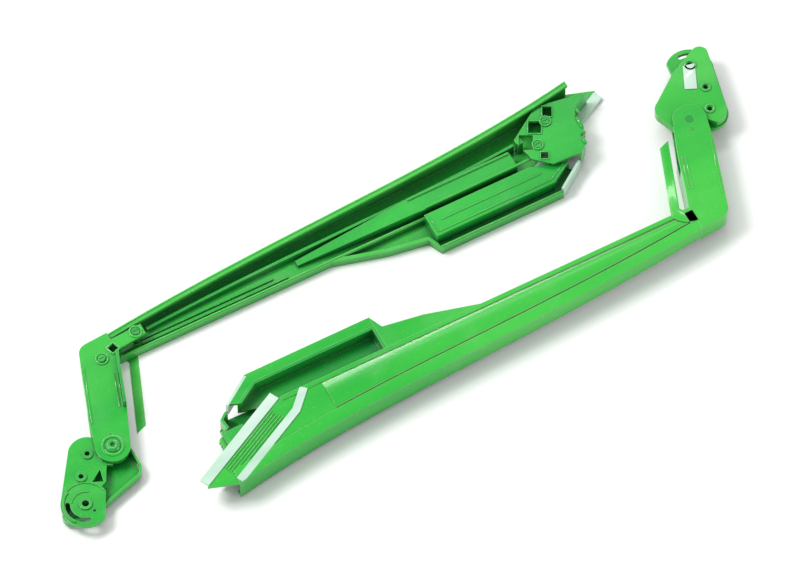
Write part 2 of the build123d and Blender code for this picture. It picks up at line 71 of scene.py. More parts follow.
# ---------------------------------------------------------------------------------------------- node tools
class NodeSheet:
    """A node tree with short calls for adding and joining nodes."""

    def __init__(self, tree: bpy.types.NodeTree) -> None:
        """Keep the tree.

        Args:
            tree: The node tree to fill.
        """
        self.tree = tree

    def add(self, kind: str, **settings: object) -> bpy.types.Node:
        """Add a node and set its properties.

        Args:
            kind: The node's type name, without the ShaderNode prefix where it has one.
            settings: Properties of the node.

        Returns:
            The new node.
        """
        name = kind if kind.startswith("Node") else "ShaderNode" + kind
        node = self.tree.nodes.new(name)
        for key, value in settings.items():
            setattr(node, key, value)
        return node

    def join(self, source: bpy.types.NodeSocket, target: bpy.types.NodeSocket) -> None:
        """Link one socket to another."""
        self.tree.links.new(source, target)

    def feed(self, target: bpy.types.NodeSocket, value: object) -> None:
        """Link a socket to the target, or set the target's plain value."""
        if isinstance(value, bpy.types.NodeSocket):
            self.join(value, target)
        else:
            target.default_value = value

    def math(self, operation: str, first: object, second: object = 0.0,
             clamp: bool = False) -> bpy.types.NodeSocket:
        """Add a Math node.

        Args:
            operation: The node's operation.
            first: A socket or a number.
            second: A socket or a number.
            clamp: Whether the result is kept between 0 and 1.

        Returns:
            The node's output.
        """
        node = self.add("Math", operation=operation, use_clamp=clamp)
        self.feed(node.inputs[0], first)
        self.feed(node.inputs[1], second)
        return node.outputs[0]

    def mix(self, share: object, first: object, second: object) -> bpy.types.NodeSocket:
        """Mix two colours.

        Args:
            share: How much of the second colour, as a socket or a number.
            first: The first colour.
            second: The second colour.

        Returns:
            The mixed colour.
        """
        node = self.add("Mix", data_type="RGBA", clamp_factor=True)
        self.feed(node.inputs[0], share)
        self.feed(node.inputs[6], first)
        self.feed(node.inputs[7], second)
        return node.outputs[2]

    def noise(self, where: bpy.types.NodeSocket, scale: float, detail: float = 2.0) -> bpy.types.NodeSocket:
        """Add a Noise texture and return its value."""
        node = self.add("TexNoise")
        self.join(where, node.inputs["Vector"])
        node.inputs["Scale"].default_value = scale
        node.inputs["Detail"].default_value = detail
        return node.outputs["Fac"]

    def ramp(self, value: bpy.types.NodeSocket, low: float, high: float) -> bpy.types.NodeSocket:
        """Spread the values between low and high over 0 to 1."""
        node = self.add("MapRange", clamp=True)
        self.join(value, node.inputs[0])
        node.inputs[1].default_value = low
        node.inputs[2].default_value = high
        return node.outputs[0]


def new_group(name: str, inputs: dict[str, float], outputs: list[tuple[str, str]]) -> tuple:
    """Start a shader node group.

    Args:
        name: The group's name.
        inputs: The number sockets that go in, with their usual values.
        outputs: The name and socket type of each output.

    Returns:
        The group's sheet, its input node and its output node.
    """
    tree = bpy.data.node_groups.new(name, "ShaderNodeTree")
    for label, usual in inputs.items():
        socket = tree.interface.new_socket(label, in_out="INPUT", socket_type="NodeSocketFloat")
        socket.default_value = usual
    for label, kind in outputs:
        tree.interface.new_socket(label, in_out="OUTPUT", socket_type=kind)
    sheet = NodeSheet(tree)
    return sheet, sheet.add("NodeGroupInput"), sheet.add("NodeGroupOutput")


def scaled_noise(sheet: NodeSheet, where: bpy.types.NodeSocket, scale: bpy.types.NodeSocket,
                 detail: float) -> bpy.types.NodeSocket:
    """Add a Noise texture whose scale comes from a socket."""
    node = sheet.add("TexNoise")
    sheet.join(where, node.inputs["Vector"])
    sheet.join(scale, node.inputs["Scale"])
    node.inputs["Detail"].default_value = detail
    return node.outputs["Fac"]


def build_rim_highlight_and_rubbing() -> bpy.types.NodeTree:
    """Build the group that finds rims and corners for a painted highlight, and the same rims broken up by
    rubbing.

    Returns:
        The node group, with outputs for the rim mask, where the finishes paint a highlight, for Rubbed and for
        Round, which is the normal of the rounded edge.
    """
    sheet, start, end = new_group("rim_highlight_and_rubbing", {"Width": 0.0008, "Breakup": 60.0},
                                  [("Rim highlight", "NodeSocketFloat"), ("Rubbed", "NodeSocketFloat"),
                                   ("Round", "NodeSocketVector")])
    soft = sheet.add("Bevel", samples=6)
    sheet.join(start.outputs["Width"], soft.inputs["Radius"])
    geometry = sheet.add("NewGeometry")
    dot = sheet.add("VectorMath", operation="DOT_PRODUCT")
    sheet.join(soft.outputs[0], dot.inputs[0])
    sheet.join(geometry.outputs["True Normal"], dot.inputs[1])
    bent = sheet.math("SUBTRACT", 1.0, dot.outputs["Value"])
    edge = sheet.ramp(bent, 0.02, 0.22)
    where = sheet.add("TexCoord")
    worn = scaled_noise(sheet, where.outputs["Object"], start.outputs["Breakup"], 3.0)
    rubbed = sheet.math("MULTIPLY", edge, sheet.ramp(worn, 0.42, 0.66))
    # The rim mask marks where the finishes paint a lighter colour along every rim as a highlight.
    sheet.join(edge, end.inputs["Rim highlight"])
    sheet.join(rubbed, end.inputs["Rubbed"])
    sheet.join(soft.outputs[0], end.inputs["Round"])
    return sheet.tree


def build_pocket_shade() -> bpy.types.NodeTree:
    """Build the group of painted shade, which finds grooves and pockets by ambient occlusion so that their
    colour can be darkened.

    Returns:
        The node group, with two painted-shade masks: one for wide pockets and one for narrow corners.
    """
    sheet, start, end = new_group("pocket_shade", {"Reach": 0.022},
                                  [("Pocket shade", "NodeSocketFloat"), ("Seam", "NodeSocketFloat")])
    wide = sheet.add("AmbientOcclusion", samples=8)
    sheet.join(start.outputs["Reach"], wide.inputs["Distance"])
    tight = sheet.add("AmbientOcclusion", samples=4)
    tight.inputs["Distance"].default_value = 0.0025
    # Painted shade: the less room light reaches a point, the more its colour is darkened, in wide pockets and
    # in narrow corners.
    sheet.join(sheet.ramp(sheet.math("SUBTRACT", 1.0, wide.outputs["AO"]), 0.18, 0.80), end.inputs["Pocket shade"])
    sheet.join(sheet.ramp(sheet.math("SUBTRACT", 1.0, tight.outputs["AO"]), 0.25, 0.70), end.inputs["Seam"])
    return sheet.tree


def build_mould_tone() -> bpy.types.NodeTree:
    """Build the group for moulded plastic: slow flow lines, small specks and a fine skin.

    Returns:
        The node group, with outputs Flow, Speck and Skin.
    """
    scales = {"Flow scale": 9.0, "Speck scale": 420.0, "Skin scale": 1500.0}
    sheet, start, end = new_group("mould_tone", scales,
                                  [(n, "NodeSocketFloat") for n in ("Flow", "Speck", "Skin")])
    where = sheet.add("TexCoord")
    along = sheet.add("Mapping")
    along.inputs["Scale"].default_value = (0.35, 1.6, 2.5)
    sheet.join(where.outputs["Object"], along.inputs["Vector"])
    flow = scaled_noise(sheet, along.outputs[0], start.outputs["Flow scale"], 3.0)
    speck = scaled_noise(sheet, where.outputs["Object"], start.outputs["Speck scale"], 1.0)
    skin = scaled_noise(sheet, where.outputs["Object"], start.outputs["Skin scale"], 2.0)
    sheet.join(sheet.ramp(flow, 0.32, 0.68), end.inputs["Flow"])
    sheet.join(sheet.ramp(speck, 0.62, 0.76), end.inputs["Speck"])
    sheet.join(skin, end.inputs["Skin"])
    return sheet.tree


def build_dust() -> bpy.types.NodeTree:
    """Build the group for handling dust and fine rub marks.

    Returns:
        The node group, with outputs Dust and Scuff.
    """
    sheet, start, end = new_group("handling_dust", {"Dust scale": 26.0},
                                  [("Dust", "NodeSocketFloat"), ("Scuff", "NodeSocketFloat")])
    where = sheet.add("TexCoord")
    patch = scaled_noise(sheet, where.outputs["Object"], start.outputs["Dust scale"], 5.0)
    stretch = sheet.add("Mapping")
    stretch.inputs["Scale"].default_value = (24.0, 420.0, 420.0)
    stretch.inputs["Rotation"].default_value = (0.0, 0.0, 0.35)
    sheet.join(where.outputs["Object"], stretch.inputs["Vector"])
    line = sheet.noise(stretch.outputs[0], 1.0, 2.0)
    scuff = sheet.math("MULTIPLY", sheet.ramp(line, 0.66, 0.74), sheet.ramp(patch, 0.5, 0.62))
    sheet.join(sheet.ramp(patch, 0.52, 0.72), end.inputs["Dust"])
    sheet.join(scuff, end.inputs["Scuff"])
    return sheet.tree


class Effects:
    """The node groups that the finishes share."""

    def __init__(self) -> None:
        """Build each group once."""
        self.rim_highlight_and_rubbing = build_rim_highlight_and_rubbing()
        self.mould_tone = build_mould_tone()
        self.dust = build_dust()
        self.pocket_shade = build_pocket_shade()


Colour = tuple[float, float, float]


@dataclass(frozen=True)
class Finish:
    """A moulded finish of one green.

    Attributes:
        name: The material's name.
        deep: The colour in the thick of the material.
        bright: The colour where the plastic looks thin and lit.
        edge: The lighter colour painted along rims and corners as a highlight, which specks and rubbed rims
            also take.
        shade: The colour of the painted shade down in grooves and pockets.
        rough: The usual roughness.
        coat: The weight of the clear gloss on top.
        edge_width: The width of the lit rim, in metres.
        flow: The scale of the slow colour bands.
        grain: The height of the fine skin, in metres.
        metallic: How much of it is metal.
        depth: How strongly the painted shade darkens grooves and pockets.
        gloss: The specular level under the clear coat.
    """

    name: str
    deep: Colour
    bright: Colour
    edge: Colour
    shade: Colour = (0.0, 0.12, 0.03)
    rough: float = 0.2
    coat: float = 0.5
    edge_width: float = 0.0009
    flow: float = 9.0
    grain: float = 0.00002
    metallic: float = 0.0
    depth: float = 0.85
    gloss: float = 0.18

    def build(self, effects: Effects) -> bpy.types.Material:
        """Make the material.

        Args:
            effects: The shared node groups.

        Returns:
            The finished material.
        """
        material = bpy.data.materials.new(self.name)
        material.use_nodes = True
        sheet = NodeSheet(material.node_tree)
        shader = material.node_tree.nodes["Principled BSDF"]
        tone = self.place(sheet, effects.mould_tone, {"Flow scale": self.flow})
        rim_masks = self.place(sheet, effects.rim_highlight_and_rubbing, {"Width": self.edge_width})
        dust = self.place(sheet, effects.dust, {})
        shade_masks = self.place(sheet, effects.pocket_shade, {})
        lit = sheet.mix(tone.outputs["Flow"], (*self.deep, 1), (*self.bright, 1))
        # Painted shade: grooves, pockets and narrow corners are darkened towards the shade colour.
        pocket_darkened = sheet.mix(sheet.math("MULTIPLY", shade_masks.outputs["Pocket shade"], self.depth), lit, (*self.shade, 1))
        body = sheet.mix(sheet.math("MULTIPLY", shade_masks.outputs["Seam"], self.depth), pocket_darkened, (*self.shade, 1))
        specked = sheet.mix(sheet.math("MULTIPLY", tone.outputs["Speck"], 0.12), body, (*self.edge, 1))
        # Painted highlight: every rim is lightened towards the edge colour.
        rim_highlighted = sheet.mix(sheet.math("MULTIPLY", rim_masks.outputs["Rim highlight"], 0.75), specked, (*self.edge, 1))
        chalk = tuple(0.5 * c + 0.3 for c in self.edge)
        rubbed = sheet.mix(sheet.math("MULTIPLY", rim_masks.outputs["Rubbed"], 0.35), rim_highlighted, (*chalk, 1))
        final = sheet.mix(sheet.math("MULTIPLY", dust.outputs["Dust"], 0.05), rubbed, (0.5, 0.55, 0.45, 1))
        sheet.join(final, shader.inputs["Base Color"])
        rough = sheet.math("ADD", self.rough, sheet.math("MULTIPLY", dust.outputs["Dust"], 0.10))
        rough = sheet.math("ADD", rough, sheet.math("MULTIPLY", dust.outputs["Scuff"], 0.18))
        rough = sheet.math("ADD", rough, sheet.math("MULTIPLY", rim_masks.outputs["Rubbed"], 0.12), clamp=True)
        sheet.join(rough, shader.inputs["Roughness"])
        self.relief(sheet, shader, tone, dust, rim_masks)
        shader.inputs["Metallic"].default_value = self.metallic
        shader.inputs["Coat Weight"].default_value = self.coat
        shader.inputs["Coat Roughness"].default_value = 0.07
        shader.inputs["IOR"].default_value = 1.5
        shader.inputs["Specular IOR Level"].default_value = self.gloss
        return material

    def place(self, sheet: NodeSheet, group: bpy.types.NodeTree, values: dict[str, float]) -> bpy.types.Node:
        """Place a shared group with this finish's own values."""
        node = sheet.add("Group", node_tree=group)
        for key, value in values.items():
            node.inputs[key].default_value = value
        return node

    def relief(self, sheet: NodeSheet, shader: bpy.types.Node, tone: bpy.types.Node,
               dust: bpy.types.Node, rim_masks: bpy.types.Node) -> None:
        """Give the surface its fine skin and rub marks.

        Args:
            sheet: The material's sheet.
            shader: The Principled shader.
            tone: The placed mould_tone group.
            dust: The placed handling_dust group.
            rim_masks: The placed group that gives the rim mask for the painted highlight, the rubbed rims and
                the rounded normal that rounds the edges.
        """
        scuff = sheet.math("MULTIPLY", dust.outputs["Scuff"], 0.6)
        height = sheet.math("SUBTRACT", tone.outputs["Skin"], scuff)
        bump = sheet.add("Bump")
        bump.inputs["Strength"].default_value = 0.5
        bump.inputs["Distance"].default_value = self.grain
        sheet.join(height, bump.inputs["Height"])
        sheet.join(rim_masks.outputs["Round"], bump.inputs["Normal"])
        sheet.join(bump.outputs[0], shader.inputs["Normal"])


FINISHES: dict[str, Finish] = {
    "shell_green": Finish("shell_green", (0.004, 0.36, 0.028), (0.05, 0.52, 0.05), (0.24, 0.72, 0.20)),
    "inner_green": Finish("inner_green", (0.002, 0.28, 0.03), (0.02, 0.43, 0.04), (0.20, 0.68, 0.17),
                          flow=14.0),
    # pale_green is a near-white green used as a painted highlight, on pale plates set where the surface shows
    # a reflection.
    "pale_green": Finish("pale_green", (0.40, 0.62, 0.48), (0.62, 0.78, 0.68), (0.80, 0.92, 0.84),
                         shade=(0.08, 0.34, 0.16), rough=0.12, coat=0.8, flow=22.0, depth=0.6),
    "head_green": Finish("head_green", (0.004, 0.32, 0.03), (0.035, 0.49, 0.045), (0.22, 0.70, 0.19),
                         flow=18.0, rough=0.22),
    "catch_green": Finish("catch_green", (0.02, 0.38, 0.03), (0.08, 0.52, 0.06), (0.26, 0.70, 0.20),
                          rough=0.32, coat=0.25, grain=0.00005),
    "fixings": Finish("fixings", (0.004, 0.26, 0.03), (0.03, 0.44, 0.05), (0.26, 0.72, 0.26), rough=0.24,
                      coat=0.6, edge_width=0.0005, flow=40.0),
}


# ---------------------------------------------------------------------------------------------- layout
Spot = tuple[float, float]


@dataclass(frozen=True)
class Layout:
    """How the left hand lies, in millimetres in the frame. The right hand is turned through the centre.

    Attributes:
        start_x: Where the straight arm leaves the elbow.
        end_x: The end of the convex edge.
        inner_y: The concave edge of the skin.
        pivot: The head's pivot.
        centre: The point that turns one hand into the other.
        head_turn: How far the right head lies swung out, in radians.
    """

    start_x: float
    end_x: float
    inner_y: float
    pivot: Spot
    centre: tuple[float, float, float]
    head_turn: float
    tip_reach: float = 26.0
    mitre_back: float = 67.0
    tip_drop: float = 9.0
    edge_mid_reach: float = 231.0
    edge_mid_rise: float = 37.8
    edge_slope: float = 0.04
    sweep_narrow: float = 5.5
    sweep_wide: float = 10.2

    @classmethod
    def measure(cls) -> "Layout":
        """Take the layout from the frame's boxes, joints and mounts."""
        low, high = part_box("left_arm_shell")
        joints = {row["name"]: row["pos_m"] for row in frame["record"]["behaviour"]["joints"]
                  if row["type"] == "hinge"}
        mounts = {row["name"]: row["pos_m"] for row in frame["record"]["mounts"]}
        left, right = Vector(joints["left_head_swing"]), Vector(joints["right_head_swing"])
        reach = Vector(mounts["left_bolt_bore"]) - left
        turned = right - Vector(mounts["right_bolt_bore"])
        turn = math.atan2(turned.y, turned.x) - math.atan2(reach.y, reach.x)
        middle = (left + right) / 2
        height = CAD_BOUNDS[1][2] - CAD_BOUNDS[0][2]
        return cls(low.x / MM, high.x / MM - cls.tip_reach, low.y / MM, (left.x / MM, left.y / MM),
                   (middle.x / MM, middle.y / MM, height / MM / 2), turn)

    def convex(self, x: float) -> float:
        """The height in plan of the convex edge at a station along the arm."""
        middle = self.start_x + self.edge_mid_reach
        reach = x - middle
        span, sweep = ((self.end_x - middle, self.sweep_wide) if reach > 0
                       else (middle - self.start_x, self.sweep_narrow))
        return self.inner_y + self.edge_mid_rise + self.edge_slope * reach + sweep * (reach / span) ** 3

    def on_mitre(self, share: float, out: float = 0.0) -> Spot:
        """A point on the mitred end.

        Args:
            share: How far along, from the concave edge to the tip.
            out: How far outside the end.

        Returns:
            The point in plan.
        """
        foot = Vector((self.end_x - self.mitre_back, self.inner_y))
        tip = Vector((self.end_x + self.tip_reach, self.convex(self.end_x) - self.tip_drop))
        along = (tip - foot).normalized()
        point = foot + (tip - foot) * share + Vector((along.y, -along.x)) * out
        return point.x, point.y


# ---------------------------------------------------------------------------------------------- bench
class Bench:
    """Starts, shapes and finishes one piece at a time, drawn where the left hand lies."""

    def __init__(self, layout: Layout, finishes: dict[str, bpy.types.Material]) -> None:
        """Keep the layout and the finishes.

        Args:
            layout: How the hands lie.
            finishes: The built materials by slot name.
        """
        self.layout = layout
        self.finishes = finishes

    def edit(self) -> None:
        """Open the piece in edit mode with all of it selected."""
        bpy.ops.object.mode_set(mode="EDIT")
        bpy.ops.mesh.select_all(action="SELECT")

    def apply(self) -> None:
        """Put the piece's place, turn and scale into its mesh."""
        bpy.ops.object.transform_apply(location=True, rotation=True, scale=True)

    def push(self, step: tuple[float, float, float]) -> None:
        """Extrude what is selected by a step in millimetres."""
        bpy.ops.mesh.extrude_region_move(TRANSFORM_OT_translate={"value": tuple(v * MM for v in step)})

    def bar(self, start: Spot, end: Spot, width: float, low: float, high: float) -> bpy.types.Object:
        """Model a straight bar with its long edges broken.

        Args:
            start: Where its middle line starts.
            end: Where its middle line ends.
            width: Its width.
            low: The height of its underside.
            high: The height of its top.

        Returns:
            The new object.
        """
        bpy.ops.object.select_all(action="DESELECT")
        length, angle = math.dist(start, end), math.atan2(end[1] - start[1], end[0] - start[0])
        middle = ((start[0] + end[0]) / 2 * MM, (start[1] + end[1]) / 2 * MM, (low + high) / 2 * MM)
        bpy.ops.mesh.primitive_cube_add(size=1.0, location=middle, rotation=(0, 0, angle))
        piece = bpy.context.object
        piece.scale = (length * MM, width * MM, (high - low) * MM)
        self.apply()
        self.edit()
        bpy.ops.mesh.bevel(offset=min(width, high - low) * 0.3 * MM, segments=2, affect="EDGES")
        return piece

    def plate(self, corners: list[Spot], low: float, high: float) -> bpy.types.Object:
        """Model a flat plate by cutting a block along each side of its outline.

        Args:
            corners: The convex outline, anticlockwise.
            low: The height of its underside.
            high: The height of its top.

        Returns:
            The new object.
        """
        bpy.ops.object.select_all(action="DESELECT")
        middle = (sum(c[0] for c in corners) / len(corners), sum(c[1] for c in corners) / len(corners))
        size = 3 * max(math.dist(middle, corner) for corner in corners)
        place = (middle[0] * MM, middle[1] * MM, (low + high) / 2 * MM)
        bpy.ops.mesh.primitive_cube_add(size=1.0, location=place)
        piece = bpy.context.object
        piece.scale = (size * MM, size * MM, (high - low) * MM)
        self.apply()
        self.edit()
        for here, there in zip(corners, corners[1:] + corners[:1]):
            bpy.ops.mesh.select_all(action="SELECT")
            bpy.ops.mesh.bisect(plane_co=(here[0] * MM, here[1] * MM, low * MM),
                                plane_no=(there[1] - here[1], here[0] - there[0], 0.0),
                                use_fill=True, clear_outer=True)
        bpy.ops.mesh.select_all(action="SELECT")
        bpy.ops.mesh.bevel(offset=0.25 * (high - low) * MM, segments=2, affect="EDGES")
        return piece

    def ring(self, centre: Spot, outer: float, inner: float, low: float, high: float, sides: int = 36,
             turn: float = 0.0) -> bpy.types.Object:
        """Model a flat ring or a square frame.

        Args:
            centre: Its centre.
            outer: Its outer radius.
            inner: Its inner radius.
            low: The height of its underside.
            high: The height of its top.
            sides: How many sides it has.
            turn: How far it is turned, in radians.

        Returns:
            The new object.
        """
        bpy.ops.object.select_all(action="DESELECT")
        place = (centre[0] * MM, centre[1] * MM, low * MM)
        bpy.ops.mesh.primitive_circle_add(vertices=sides, radius=outer * MM, location=place,
                                          rotation=(0, 0, turn))
        piece = bpy.context.object
        self.apply()
        self.edit()
        bpy.ops.mesh.extrude_edges_move(TRANSFORM_OT_translate={"value": (0, 0, 0)})
        bpy.ops.transform.resize(value=(inner / outer, inner / outer, 1.0), center_override=place)
        bpy.ops.mesh.select_all(action="SELECT")
        self.push((0, 0, high - low))
        return piece

    def frame_rim(self, centre: Spot, width: float, depth: float, turn: float, low: float,
                  high: float, wall: float = 1.1) -> bpy.types.Object:
        """Model the raised rim round a window.

        Args:
            centre: The window's centre.
            width: The window's width.
            depth: The window's depth.
            turn: How far it is turned, in radians.
            low: The height of the rim's underside.
            high: The height of its top.
            wall: How wide the rim is.

        Returns:
            The new object.
        """
        bpy.ops.object.select_all(action="DESELECT")
        bpy.ops.mesh.primitive_plane_add(size=1.0, location=(centre[0] * MM, centre[1] * MM, low * MM),
                                         rotation=(0, 0, turn))
        piece = bpy.context.object
        piece.scale = ((width + 2 * wall) * MM, (depth + 2 * wall) * MM, 1.0)
        self.apply()
        self.edit()
        bpy.ops.mesh.inset(thickness=wall * MM)
        bpy.ops.mesh.delete(type="FACE")
        bpy.ops.mesh.select_all(action="SELECT")
        self.push((0, 0, high - low))
        return piece

    def arc_bead(self, centre: Spot, radius: float, first: float, last: float, width: float, low: float,
                 high: float) -> bpy.types.Object:
        """Model a curved bead by spinning its section.

        Args:
            centre: The centre of the curve.
            radius: The radius of its middle line.
            first: The angle where it starts, in degrees.
            last: The angle where it ends, in degrees.
            width: Its width.
            low: The height of its underside.
            high: The height of its top.

        Returns:
            The new object.
        """
        bpy.ops.object.select_all(action="DESELECT")
        turn = math.radians(first)
        place = ((centre[0] + radius * math.cos(turn)) * MM, (centre[1] + radius * math.sin(turn)) * MM,
                 (low + high) / 2 * MM)
        bpy.ops.mesh.primitive_plane_add(size=1.0, location=place, rotation=(math.pi / 2, 0, turn))
        piece = bpy.context.object
        piece.scale = (width * MM, (high - low) * MM, 1.0)
        self.apply()
        self.edit()
        bpy.ops.mesh.spin(steps=28, angle=math.radians(last - first), axis=(0, 0, 1),
                          center=(centre[0] * MM, centre[1] * MM, 0.0))
        bpy.ops.object.mode_set(mode="OBJECT")
        return piece

    def sweep(self, path: list[tuple[float, float, float]], width: float, height: float) -> bpy.types.Object:
        """Model a bead that follows a gentle line by extruding its section step by step.

        Args:
            path: The middle of its underside at each station.
            width: Its width.
            height: Its height.

        Returns:
            The new object.
        """
        bpy.ops.object.select_all(action="DESELECT")
        x, y, z = path[0]
        bpy.ops.mesh.primitive_plane_add(size=1.0, location=(x * MM, y * MM, (z + height / 2) * MM),
                                         rotation=(0, math.pi / 2, 0))
        piece = bpy.context.object
        piece.scale = (height * MM, width * MM, 1.0)
        self.apply()
        self.edit()
        for here, there in zip(path, path[1:]):
            self.push(tuple(b - a for a, b in zip(here, there)))
        return piece

    def crown(self, stations: list[tuple[float, float, float]], base: float, rise: float,
              swell: float) -> bpy.types.Object:
        """Model a long plate whose face is gently rounded across, downwards from its base.

        Args:
            stations: The place along the arm, the middle and the width at each step.
            base: The height that the plate stands on.
            rise: How far its middle stands out at the first station.
            swell: The power of the width by which the rise grows.

        Returns:
            The new object.
        """
        bpy.ops.object.select_all(action="DESELECT")
        x, middle, width = stations[0]
        radius = (width ** 2 / 4 + rise ** 2) / (2 * rise)
        sides = 4 * max(8, round(8 * math.pi * radius / width / 4))
        bpy.ops.mesh.primitive_circle_add(vertices=sides, radius=radius * MM, fill_type="NGON",
                                          location=(x * MM, middle * MM, (base - rise + radius) * MM),
                                          rotation=(0, math.pi / 2, 0))
        piece = bpy.context.object
        self.apply()
        self.edit()
        bpy.ops.mesh.bisect(plane_co=(x * MM, middle * MM, base * MM), plane_no=(0, 0, 1), clear_outer=True)
        bpy.ops.mesh.select_all(action="SELECT")
        for (x, middle, width), (next_x, next_middle, next_width) in zip(stations, stations[1:]):
            self.push((next_x - x, next_middle - middle, 0.0))
            bpy.ops.transform.resize(value=(1.0, next_width / width, (next_width / width) ** swell),
                                     center_override=(next_x * MM, next_middle * MM, base * MM))
        return piece

    def finish(self, piece: bpy.types.Object, side: Side, name: str, body: str, slot: str,
               bevel: float = 0.0, swings: bool = False) -> bpy.types.Object:
        """Clean a piece, lay it in its own hand, dress it and let it ride.

        Args:
            piece: The shaped object.
            side: The hand that it belongs to.
            name: The piece's name, without its side.
            body: The body that it rides on, without its side.
            slot: The material slot that it takes its finish from.
            bevel: The width of its broken edges, in millimetres.
            swings: Whether it turns with the head.

        Returns:
            The finished piece.
        """
        if bpy.context.mode != "OBJECT":
            bpy.ops.object.mode_set(mode="OBJECT")
        piece.name = piece.data.name = f"{side.value}_{name}"
        if side is Side.RIGHT:
            centre = Vector(self.layout.centre) * MM
            lay = Matrix.Translation(2 * centre) @ Matrix.Diagonal((-1.0, -1.0, -1.0, 1.0))
            if swings:
                pivot = Vector((*self.layout.pivot, 0.0)) * MM
                swing = Matrix.Rotation(self.layout.head_turn, 4, "Z")
                lay = lay @ Matrix.Translation(pivot) @ swing @ Matrix.Translation(-pivot)
            piece.data.transform(lay)
        self.edit()
        bpy.ops.mesh.remove_doubles(threshold=0.00001)
        bpy.ops.mesh.normals_make_consistent(inside=False)
        bpy.ops.object.mode_set(mode="OBJECT")
        if bevel:
            edge = piece.modifiers.new("broken_edge", "BEVEL")
            edge.width = bevel * MM
            edge.segments = 2
            edge.limit_method = "ANGLE"
            bpy.ops.object.modifier_apply(modifier=edge.name)
        bpy.ops.object.shade_smooth_by_angle(angle=math.radians(35))
        piece.data.materials.append(self.finishes[slot])
        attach(piece, f"{side.value}_{body}")
        log.info("built %s: %d faces, rides on %s_%s", piece.name, len(piece.data.polygons), side.value, body)
        return piece


# ------------------------------------------------------------------------------------ sub-assemblies
@dataclass
class ArmTrim:
    """The crowned skin of the long arm and the beads along its rim, lip and floor.

    Attributes:
        bench: The bench that models the pieces.
        side: The hand.
    """

    bench: Bench
    side: Side
    skin_lift: float = 0.8
    crown_rise: float = 0.14
    crown_swell: float = 1.6
    border: float = 4.6
    crest_narrow: float = 9.7
    crest_wide: float = 13.6
    crown_start: float = 7.0
    crown_stop: float = 37.0
    steps: int = 14
    wall_narrow: float = 16.0
    wall_wide: float = 26.0
    lip_height: float = 9.0
    floor_top: float = 3.4
    bead_width: float = 1.3
    bead_height: float = 0.7

    def stations(self, first: float, last: float) -> list[float]:
        """Spread stations evenly along the arm."""
        return [first + (last - first) * i / self.steps for i in range(self.steps + 1)]

    def share(self, x: float) -> float:
        """How far along the convex edge a station lies, from 0 to 1."""
        layout = self.bench.layout
        return (x - layout.start_x) / (layout.end_x - layout.start_x)

    def skin_crown(self) -> None:
        """The rounded face that stands in the sunk middle of the skin."""
        layout = self.bench.layout
        rows = []
        last = layout.end_x - layout.mitre_back - self.crown_stop
        for x in self.stations(layout.start_x + self.crown_start, last):
            crest = self.crest_narrow + (self.crest_wide - self.crest_narrow) * self.share(x)
            low, high = layout.inner_y + self.border, layout.convex(x) - crest
            rows.append((x, (low + high) / 2, high - low))
        piece = self.bench.crown(rows, self.skin_lift, self.crown_rise, self.crown_swell)
        self.bench.finish(piece, self.side, "skin_crown", "arm", "shell_green")

    def rim_beads(self) -> None:
        """The two beads on top of the tall wall's rim."""
        layout = self.bench.layout
        for name, inset in (("rim_bead_outer", 1.1), ("rim_bead_inner", 4.7)):
            path = []
            for x in self.stations(layout.start_x + 2.0, layout.end_x - 1.0):
                top = self.wall_narrow + (self.wall_wide - self.wall_narrow) * self.share(x)
                path.append((x, layout.convex(x) - inset, top - 0.1))
            piece = self.bench.sweep(path, self.bead_width, self.bead_height)
            self.bench.finish(piece, self.side, name, "arm", "shell_green", bevel=0.25)

    def lip_bead(self) -> None:
        """The bead on top of the low concave lip."""
        layout = self.bench.layout
        line = layout.inner_y + 1.3
        piece = self.bench.bar((layout.start_x + 2.0, line), (layout.end_x - layout.mitre_back - 2.0, line),
                               self.bead_width, self.lip_height - SINK, self.lip_height + 0.6)
        self.bench.finish(piece, self.side, "lip_bead", "arm", "shell_green")

    def floor_ridges(self) -> None:
        """The two slim ridges on the channel's floor at its narrow end."""
        layout = self.bench.layout
        for number, (rise, reach) in enumerate(((6.5, 164.0), (11.0, 152.0)), start=1):
            line = layout.inner_y + rise
            piece = self.bench.bar((layout.start_x + 25.0, line), (layout.start_x + reach, line), 1.4,
                                   self.floor_top - SINK, self.floor_top + 1.7)
            self.bench.finish(piece, self.side, f"floor_ridge_{number}", "arm", "inner_green")

    def build(self) -> None:
        """Model every piece."""
        self.skin_crown()
        self.rim_beads()
        self.lip_bead()
        self.floor_ridges()


